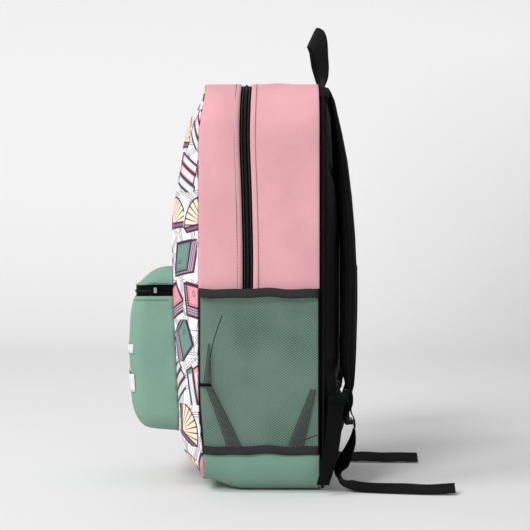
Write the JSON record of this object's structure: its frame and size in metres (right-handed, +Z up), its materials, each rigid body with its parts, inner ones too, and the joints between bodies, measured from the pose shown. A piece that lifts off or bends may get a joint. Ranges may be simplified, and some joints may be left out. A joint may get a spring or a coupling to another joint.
{
  "type": "school backpack",
  "caption": "zipped school backpack with a front pocket, mesh side pockets, padded shoulder straps and a webbing carry handle",
  "frame": {"origin": "middle of the flat bottom, on the floor", "axes": "+Z up along the bag's height, -Y out of the front pocket, +Y out of the back panel and straps, +X to the wearer's right"},
  "size_m": [0.339, 0.3661, 0.537],
  "materials": {
    "pink_canvas": "plain-weave polyester canvas",
    "green_canvas": "plain-weave polyester canvas",
    "printed_canvas": "plain-weave canvas with an all-over printed pattern",
    "air_mesh": "spacer mesh over foam",
    "netting": "knitted netting",
    "webbing": "ribbed webbing",
    "binding": "woven tape",
    "zip_teeth": "coil teeth",
    "zip_metal": "satin plated zinc",
    "black_plastic": "fine-textured moulded plastic",
    "lining": "thin taffeta",
    "foam": "closed-cell foam"
  },
  "bodies": {
    "bag": {"back_lining": "lining", "back_panel": "air_mesh", "back_stiffener": "foam", "base_pad": "foam", "front_panel_lower": "printed_canvas", "gusset_base": "green_canvas", "gusset_rear": "pink_canvas", "gusset_front_lower_r": "pink_canvas", "gusset_front_lower_l": "pink_canvas", "laptop_sleeve": "lining", "sleeve_binding": "binding", "mesh_pocket_r": "netting", "mesh_pocket_l": "netting", "mesh_elastic_r": "binding", "mesh_elastic_l": "binding", "mesh_binding_r": "binding", "mesh_binding_l": "binding", "pocket_bag": "green_canvas", "pocket_tape_lower": "binding", "pocket_teeth_lower": "zip_teeth", "pocket_zip_stop_r": "zip_metal", "pocket_zip_stop_l": "zip_metal", "strap_yoke": "air_mesh", "zip_end_r": "binding", "zip_end_l": "binding", "zip_tape_rear": "binding", "zip_teeth_rear": "zip_teeth", "adjuster_webbing_r": "webbing", "adjuster_webbing_l": "webbing", "webbing_tail_r": "webbing", "webbing_tail_l": "webbing", "anchor_tab_r": "binding", "anchor_tab_l": "binding"},
    "front_flap": {"front_panel_upper": "printed_canvas", "gusset_front": "pink_canvas", "zip_tape_front": "binding", "zip_teeth_front": "zip_teeth"},
    "slider_right": {"zip_slider_r": "zip_metal"},
    "pull_right": {"zip_pull_r": "zip_metal"},
    "slider_left": {"zip_slider_l": "zip_metal"},
    "pull_left": {"zip_pull_l": "zip_metal"},
    "pocket_lid": {"pocket_cap": "green_canvas", "pocket_tape_upper": "binding", "pocket_teeth_upper": "zip_teeth"},
    "pocket_runner": {"pocket_slider": "zip_metal"},
    "pocket_tab": {"pocket_pull": "zip_metal"},
    "handle": {"carry_handle": "webbing"},
    "strap_right": {"strap_pad_r": "air_mesh", "strap_webbing_r": "webbing"},
    "lock_right": {"ladder_lock_r": "black_plastic", "lock_webbing_r": "webbing"},
    "strap_left": {"strap_pad_l": "air_mesh", "strap_webbing_l": "webbing"},
    "lock_left": {"ladder_lock_l": "black_plastic", "lock_webbing_l": "webbing"}
  },
  "joints": [
    {"name": "flap_fold", "type": "hinge", "parent": "bag", "child": "front_flap", "pos_m": [0, -0.099, 0.2525], "axis": [1, 0, 0], "range_deg": [0, 55]},
    {"name": "slider_right_travel", "type": "slide", "parent": "front_flap", "child": "slider_right", "axis": [1, 0, 0], "range_m": [0, 0.068]},
    {"name": "pull_right_lift", "type": "hinge", "parent": "slider_right", "child": "pull_right", "pos_m": [0.013, -0.014, 0.46295], "axis": [0, -1, 0], "range_deg": [0, 110]},
    {"name": "slider_left_travel", "type": "slide", "parent": "front_flap", "child": "slider_left", "axis": [-1, 0, 0], "range_m": [0, 0.068]},
    {"name": "pull_left_lift", "type": "hinge", "parent": "slider_left", "child": "pull_left", "pos_m": [-0.013, -0.014, 0.46295], "axis": [0, 1, 0], "range_deg": [0, 110]},
    {"name": "pocket_lid_lift", "type": "hinge", "parent": "bag", "child": "pocket_lid", "pos_m": [0, -0.097, 0.2506], "axis": [-1, 0, 0], "range_deg": [0, 35]},
    {"name": "pocket_slider_travel", "type": "slide", "parent": "pocket_lid", "child": "pocket_runner", "axis": [1, 0, 0], "range_m": [0, 0.15]},
    {"name": "pocket_pull_lift", "type": "hinge", "parent": "pocket_runner", "child": "pocket_tab", "pos_m": [-0.078, -0.14605, 0.2235], "axis": [-1, 0, 0], "range_deg": [0, 110]},
    {"name": "handle_fold", "type": "hinge", "parent": "bag", "child": "handle", "pos_m": [0, 0.0735, 0.4582], "axis": [1, 0, 0], "range_deg": [-60, 70], "stiffness_Nm_per_rad": 0.03},
    {"name": "strap_right_swing", "type": "hinge", "parent": "bag", "child": "strap_right", "pos_m": [0.056, 0.0845, 0.4425], "axis": [1, 0, 0], "range_deg": [0, 14]},
    {"name": "lock_right_tilt", "type": "hinge", "parent": "strap_right", "child": "lock_right", "pos_m": [0.1, 0.099, 0.101], "axis": [1, 0, 0], "range_deg": [0, 8]},
    {"name": "strap_left_swing", "type": "hinge", "parent": "bag", "child": "strap_left", "pos_m": [-0.056, 0.0845, 0.4425], "axis": [1, 0, 0], "range_deg": [0, 14]},
    {"name": "lock_left_tilt", "type": "hinge", "parent": "strap_left", "child": "lock_left", "pos_m": [-0.1, 0.099, 0.101], "axis": [1, 0, 0], "range_deg": [0, 8]}
  ]
}
